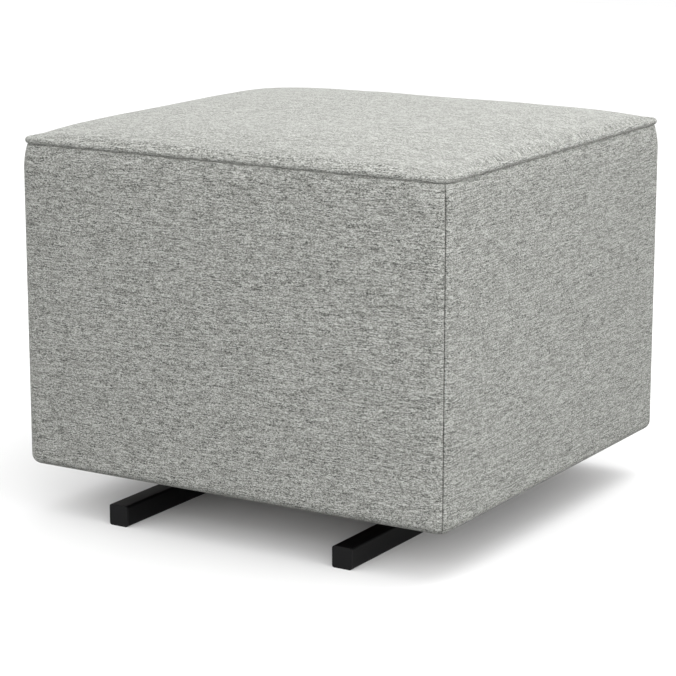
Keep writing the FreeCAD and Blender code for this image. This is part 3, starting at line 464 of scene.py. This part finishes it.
def on_side(distance, inward, height, straight, half):
    """A point of a side that faces -Y: distance round the corner's curve, inward from the outside."""
    over = abs(distance) - straight
    if over <= 0:
        return Vector((distance, -half + inward, height))
    turn = over / PLAN_ROUND
    reach = PLAN_ROUND - inward
    x = math.copysign(straight + reach * math.sin(turn), distance)
    return Vector((x, -(half - PLAN_ROUND) - reach * math.cos(turn), height))


# %% [markdown]
# One function sews a side in front of the box, facing -Y, and turns it to its place. The cloth's
# own measure runs on round the box, so no two sides carry the same dashes.

# %% Sew the sides
CLOTH_GAP = 0.35 * MM


def make_side(name, turn, half_width, half_depth, start):
    straight = half_width - PLAN_ROUND
    half_path = side_stations(straight)
    path = [(-d, dip) for d, dip in half_path[:0:-1]] + half_path
    spin = Matrix.Rotation(math.radians(turn), 3, "Z")
    climb = [0.0]
    for a, b in zip(SIDE_OUTER, SIDE_OUTER[1:]):
        climb.append(climb[-1] + math.dist(a, b))

    def skin(station, row):
        distance, dip = path[station]
        inset, height = SIDE_OUTER[row]
        gap = CLOTH_GAP * max(0.0, 1 - abs(abs(distance) - half_path[-1][0]) / SEAM_ROLL)
        point = on_side(distance - math.copysign(gap, distance), inset + dip, height, straight, half_depth)
        return spin @ point

    def flat(station, row):
        return start + path[station][0], climb[row]

    bm = cloth_grid(range(len(path)), range(len(SIDE_OUTER)), skin, flat)
    back, pinned = [], []
    for index in range(len(bm.verts)):
        row, station = divmod(index, len(path))
        distance = path[station][0]
        inset, height = SIDE_BACK[row]
        back.append(spin @ on_side(distance * 0.9995, inset, height, straight, half_depth))
        free = abs(distance) < straight and HEM_Z + HEM_ROUND < SIDE_OUTER[row][1] < SIDE_TOP - PINNED_TOP
        pinned.append(0.0 if free else 1.0)
    back_with(bm, back)
    obj = finish_piece(name + "_pad", bm, TWEED, "seat")
    swell(obj, pinned, SIDE_PRESSURE, SIDE_SWELL)
    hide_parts(name + "_cover", name + "_padding")
    return obj


SIDES = (("front", 0, HALF_X, HALF_Y), ("right", 90, HALF_Y, HALF_X),
         ("rear", 180, HALF_X, HALF_Y), ("left", 270, HALF_Y, HALF_X))
side_pads = []
for number, (name, turn, half_width, half_depth) in enumerate(SIDES):
    side_pads.append(make_side(name, turn, half_width, half_depth, 1.0 + number * 0.7))

# %% [markdown]
# ## The welt
# A welt is a cord wrapped in the same cloth and sewn into the seam. Its path is a rectangle with
# round corners. A small ring of points is carried round that path with spin for each corner and
# extrude for each straight, so its section stays a true circle all the way.

# %% Sew the welt
WELT_INSET = 2.0 * MM + WELT_RADIUS
WELT_RING = 16


def make_welt():
    bm = bmesh.new()
    bend = PLAN_ROUND - WELT_INSET
    corner_x, corner_y = HALF_X - PLAN_ROUND, HALF_Y - PLAN_ROUND
    ring = bmesh.ops.create_circle(bm, segments=WELT_RING, radius=WELT_RADIUS, cap_ends=False,
                                   matrix=Matrix.Translation((corner_x + bend, -corner_y, SEAM_Z))
                                   @ Matrix.Rotation(math.pi / 2, 4, "X"))
    edges = list({edge for vertex in ring["verts"] for edge in vertex.link_edges})
    sides = ((Vector((0, 2 * corner_y, 0)), Vector((corner_x, corner_y, SEAM_Z))),
             (Vector((-2 * corner_x, 0, 0)), Vector((-corner_x, corner_y, SEAM_Z))),
             (Vector((0, -2 * corner_y, 0)), Vector((-corner_x, -corner_y, SEAM_Z))),
             (Vector((2 * corner_x, 0, 0)), Vector((corner_x, -corner_y, SEAM_Z))))
    for run, centre in sides:
        pieces = round(run.length / (8 * MM))
        for _ in range(pieces):
            out = bmesh.ops.extrude_edge_only(bm, edges=edges)["geom"]
            edges = [part for part in out if isinstance(part, bmesh.types.BMEdge)]
            moved = [part for part in out if isinstance(part, bmesh.types.BMVert)]
            bmesh.ops.translate(bm, verts=moved, vec=run / pieces)
        verts = list({vertex for edge in edges for vertex in edge.verts})
        out = bmesh.ops.spin(bm, geom=verts + edges, cent=centre, axis=(0, 0, 1), angle=math.pi / 2,
                             steps=10, use_duplicate=False)["geom_last"]
        edges = [part for part in out if isinstance(part, bmesh.types.BMEdge)]
    bmesh.ops.remove_doubles(bm, verts=bm.verts[:], dist=0.05 * MM)
    bmesh.ops.recalc_face_normals(bm, faces=bm.faces[:])
    cloth = bm.loops.layers.uv.new("cloth")
    for face in bm.faces:
        middle = face.calc_center_median()
        for loop in face.loops:
            loop[cloth].uv = welt_flat(loop.vert.co, middle)
    return bm


def welt_flat(point, middle):
    """The cloth's own measure on the welt: along the nearest side, and round the cord."""
    runs_along_x = HALF_Y - abs(middle.y) < HALF_X - abs(middle.x)
    along = point.x if runs_along_x else point.y
    out = (HALF_Y - abs(point.y) if runs_along_x else HALF_X - abs(point.x)) - WELT_INSET
    lift = point.z - SEAM_Z
    return along + 5.0, WELT_RADIUS * math.atan2(lift, -out)


welt_piece = finish_piece("welt_cord", make_welt(), TWEED, "seat")
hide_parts("welt")

# %% [markdown]
# ## The dust cloth
# Under the mechanism deck a black non-woven cloth closes the box. It is stretched flat and held by
# staples, so a grid with a slight sag between its edges is enough. Its cut size is its box.

# %% Dust cloth
def dust_cloth():
    """Spun-bonded cloth, calendered: dull black with rows of tiny bonded dots."""
    material, tree, shader = start_material("spunbond_dust_cloth", Roughness=0.85)
    shader.inputs["Specular IOR Level"].default_value = 0.3
    place = add(tree, "ShaderNodeTexCoord").outputs["Object"]
    dots = add(tree, "ShaderNodeTexVoronoi", {"Vector": place, "Scale": 450.0, "Randomness": 0.15},
               voronoi_dimensions="2D")
    colour = tone_ramp(tree, cloudy(tree, 900.0, 3.0), ((0.0, linear("#0C0C0D")), (1.0, linear("#2A2A2C"))))
    tree.links.new(colour, shader.inputs["Base Color"])
    ripple(tree, shader, dots.outputs["Distance"], 0.5, 0.15 * MM)
    return material


def make_dust_sheet():
    low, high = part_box("dust_cover")

    def threads(start, end):
        return [start, *steps(start + 4 * MM, end - 4 * MM, 12 * MM), end - 4 * MM, end]

    def hang(x, y):
        sag = 0.5 * MM * math.cos(math.pi * x / (high.x - low.x)) * math.cos(math.pi * y / (high.y - low.y))
        return Vector((x, y, high.z - 0.3 * MM - sag))

    bm = cloth_grid(threads(low.x, high.x), threads(low.y, high.y), hang, lambda x, y: (x, y))
    obj = finish_piece("dust_sheet", bm, dust_cloth(), "seat")
    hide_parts("dust_cover")
    return obj


dust_sheet = make_dust_sheet()

# %% [markdown]
# ## Hardware finishes
# The runners and the swing mechanism are steel with baked powder coat: dull black, with the soft
# ripple that painters call orange peel. Fasteners are zinc plated, which is pale and slightly
# clouded. Each finish gets its colour, gloss and grain from what the real one is.

# %% Metals, plastic and rubber
def powder_coat():
    """Powder-coated steel, baked: satin black with a fine orange-peel ripple."""
    material, tree, shader = start_material("black_powder_coat", Roughness=0.42)
    shader.inputs["Base Color"].default_value = linear("#070708")
    shader.inputs["Specular IOR Level"].default_value = 0.09
    gloss = add(tree, "ShaderNodeMapRange", {"Value": cloudy(tree, 25.0, 3.0), "To Min": 0.36, "To Max": 0.5})
    tree.links.new(gloss.outputs["Result"], shader.inputs["Roughness"])
    ripple(tree, shader, cloudy(tree, 700.0, 2.0), 0.25, 0.05 * MM)
    return material


def moulded_plastic():
    """Polypropylene, moulded: near black, with the fine spark-eroded grain of its mould."""
    material, tree, shader = start_material("moulded_polypropylene", Roughness=0.5)
    shader.inputs["Base Color"].default_value = linear("#0C0C0D")
    shader.inputs["Specular IOR Level"].default_value = 0.14
    ripple(tree, shader, cloudy(tree, 1100.0, 2.0), 0.4, 0.05 * MM)
    return material


def zinc_plate():
    """Zinc plating on steel, clear passivated: a pale metal with faint bluish clouds."""
    material, tree, shader = start_material("clear_zinc_plate", Metallic=1.0, Roughness=0.33)
    colour = tone_ramp(tree, cloudy(tree, 160.0, 4.0), ((0.35, linear("#B4B9BD")), (0.7, linear("#CFCFC9"))))
    tree.links.new(colour, shader.inputs["Base Color"])
    return material


def ground_steel():
    """Bearing steel, ground: bright metal with the fine uneven gloss that the wheel leaves."""
    material, tree, shader = start_material("ground_bearing_steel", Metallic=1.0, Roughness=0.2)
    shader.inputs["Base Color"].default_value = linear("#C9CBCD")
    gloss = add(tree, "ShaderNodeMapRange", {"Value": cloudy(tree, 1500.0, 1.0), "To Min": 0.14, "To Max": 0.28})
    tree.links.new(gloss.outputs["Result"], shader.inputs["Roughness"])
    return material


def stop_rubber():
    """Nitrile rubber, moulded: deep matt black with a faint bloom."""
    material, tree, shader = start_material("moulded_rubber", Roughness=0.82)
    colour = tone_ramp(tree, cloudy(tree, 90.0, 4.0), ((0.0, linear("#0E0E0E")), (1.0, linear("#1E1E1F"))))
    tree.links.new(colour, shader.inputs["Base Color"])
    return material


# %% [markdown]
# The box is birch plywood and pine. Pine is drawn from its growth rings: bands across the board that
# noise pulls out of line. Birch veneer has faint streaks along its grain.

# %% Woods
def sawn_pine():
    """Pine, sawn and planed: pale yellow with darker late-wood bands and fine fibres."""
    material, tree, shader = start_material("planed_pine", Roughness=0.6)
    place = add(tree, "ShaderNodeTexCoord").outputs["Object"]
    rings = add(tree, "ShaderNodeTexWave", {"Vector": place, "Scale": 22.0, "Distortion": 5.0, "Detail": 3.0,
                                            "Detail Scale": 2.0})
    colour = tone_ramp(tree, rings.outputs["Fac"], ((0.0, linear("#DDBE8C")), (1.0, linear("#C49A62"))))
    tree.links.new(colour, shader.inputs["Base Color"])
    return material


def birch_ply():
    """Birch plywood, sanded: pale veneer with faint streaks."""
    material, tree, shader = start_material("sanded_birch_plywood", Roughness=0.58)
    place = add(tree, "ShaderNodeTexCoord").outputs["Object"]
    stretch = add(tree, "ShaderNodeMapping", {"Vector": place, "Scale": (6.0, 60.0, 60.0)}).outputs[0]
    grain = add(tree, "ShaderNodeTexNoise", {"Vector": stretch, "Scale": 1.0, "Detail": 5.0, "Distortion": 0.6})
    colour = tone_ramp(tree, grain.outputs["Fac"], ((0.3, linear("#C9A877")), (0.7, linear("#E3CBA0"))))
    tree.links.new(colour, shader.inputs["Base Color"])
    return material


# %% Dress the frame
FINISHES = {
    "black_painted_steel": powder_coat(),
    "black_plastic": moulded_plastic(),
    "zinc_plated_steel": zinc_plate(),
    "bearing_steel": ground_steel(),
    "rubber": stop_rubber(),
    "solid_wood": sawn_pine(),
    "plywood": birch_ply(),
}
dressed = 0
for node in NODES.values():
    slot = node.data.materials[0].name.split(".")[0]
    if slot in FINISHES:
        dress(node, FINISHES[slot])
        dressed += 1
print("dressed", dressed, "rigid nodes")

# %% [markdown]
# ## Floor, light and camera
# The photograph is a studio shot on a white table. White screens stand low round the table and throw
# light under the box, so its shadow is deep only near the middle. One softbox hangs behind the box,
# one stands on the right, and one stands by the near corner, which makes both faces a little
# brighter towards that corner. SKY gives the white all round: how far up it is looked at, from 0 at
# the horizon to 1 overhead, and how bright it is there. The camera sees plain white.

# %% Floor and light
SKY = ((0.06, 0.12), (0.13, 2.35), (0.33, 2.35), (0.42, 1.04), (1.0, 1.18))
SKY_PEAK = 2.5
FLOOR_HALF = 6.0
FLOOR_WHITE = 0.9


def studio():
    """The white floor, and the white all round it."""
    bm = bmesh.new()
    bmesh.ops.create_grid(bm, x_segments=1, y_segments=1, size=FLOOR_HALF)
    mesh = bpy.data.meshes.new("floor")
    bm.to_mesh(mesh)
    bm.free()
    floor = bpy.data.objects.new("floor", mesh)
    bpy.context.scene.collection.objects.link(floor)
    material, tree, shader = start_material("white_studio_floor", Roughness=0.9)
    shader.inputs["Base Color"].default_value = (FLOOR_WHITE, FLOOR_WHITE, FLOOR_WHITE, 1.0)
    shader.inputs["Specular IOR Level"].default_value = 0.0
    dress(floor, material)
    floor.visible_diffuse = False

    world = bpy.data.worlds.new("studio")
    bpy.context.scene.world = world
    world.use_nodes = True
    tree = world.node_tree
    around = tree.nodes["Background"]
    direction = add(tree, "ShaderNodeTexCoord").outputs["Generated"]
    height = add(tree, "ShaderNodeSeparateXYZ", {0: direction}).outputs["Z"]
    level = tone_ramp(tree, height, [(place, (strength / SKY_PEAK,) * 3 + (1.0,)) for place, strength in SKY])
    tree.links.new(calc(tree, "MULTIPLY", level, SKY_PEAK), around.inputs["Strength"])
    around.inputs["Color"].default_value = (1.0, 1.0, 1.0, 1.0)
    backdrop = add(tree, "ShaderNodeBackground", {"Color": (1.0, 1.0, 1.0, 1.0), "Strength": 1.0})
    seen = add(tree, "ShaderNodeLightPath").outputs["Is Camera Ray"]
    mixed = add(tree, "ShaderNodeMixShader", {0: seen, 1: around.outputs[0], 2: backdrop.outputs[0]})
    tree.links.new(mixed.outputs[0], tree.nodes["World Output"].inputs["Surface"])


def soft_light(name, place, aim, size, power):
    """A square softbox that faces a point. Its size is in metres and its power in watts."""
    lamp = bpy.data.lights.new(name, "AREA")
    lamp.shape = "SQUARE"
    lamp.size = size
    lamp.energy = power
    obj = bpy.data.objects.new(name, lamp)
    obj.location = place
    obj.rotation_mode = "QUATERNION"
    obj.rotation_quaternion = (Vector(aim) - Vector(place)).to_track_quat("-Z", "Y")
    obj.visible_camera = False
    bpy.context.scene.collection.objects.link(obj)
    print(name, "of", power, "W at", place)


studio()
soft_light("rear_softbox", (0.7, 0.6, 1.8), (0, 0, 0.3), 1.0, 9.5)
soft_light("near_softbox", (0.75, -1.55, 0.75), (0, 0, 0.2), 0.9, 8.6)
soft_light("right_softbox", (2.1, -0.6, 0.65), (0, 0, 0.2), 1.1, 11.5)

# %% [markdown]
# The camera was matched to the corners, the seams and the runner ends: a long lens, turned 31
# degrees to the right of the front and looking down by nearly 13 degrees.

# %% Camera
IMAGE_SIDE = 676
FOCAL_PIXELS = 2469.0
YAW, PITCH = math.radians(31.43), math.radians(12.97)
BOX_MIDDLE = Vector((0, 0, 0.2443))
DISTANCE, SHIFT_RIGHT, SHIFT_UP = 2.9837, -0.0131, -0.0511
forward = Vector((-math.sin(YAW) * math.cos(PITCH), math.cos(YAW) * math.cos(PITCH), -math.sin(PITCH)))
right = Vector((math.cos(YAW), math.sin(YAW), 0.0))
up = right.cross(forward)
lens = bpy.data.cameras.new("camera")
lens.sensor_width = 36.0
lens.lens = FOCAL_PIXELS * lens.sensor_width / IMAGE_SIDE
camera = bpy.data.objects.new("camera", lens)
bpy.context.scene.collection.objects.link(camera)
camera.rotation_mode = "QUATERNION"
camera.location = BOX_MIDDLE - forward * DISTANCE + right * SHIFT_RIGHT + up * SHIFT_UP
camera.rotation_quaternion = Matrix((right, up, -forward)).transposed().to_quaternion()
bpy.context.scene.camera = camera
bpy.context.scene.view_settings.view_transform = "Standard"
print("lens", round(lens.lens, 1), "mm, camera at", [round(v, 3) for v in camera.location])
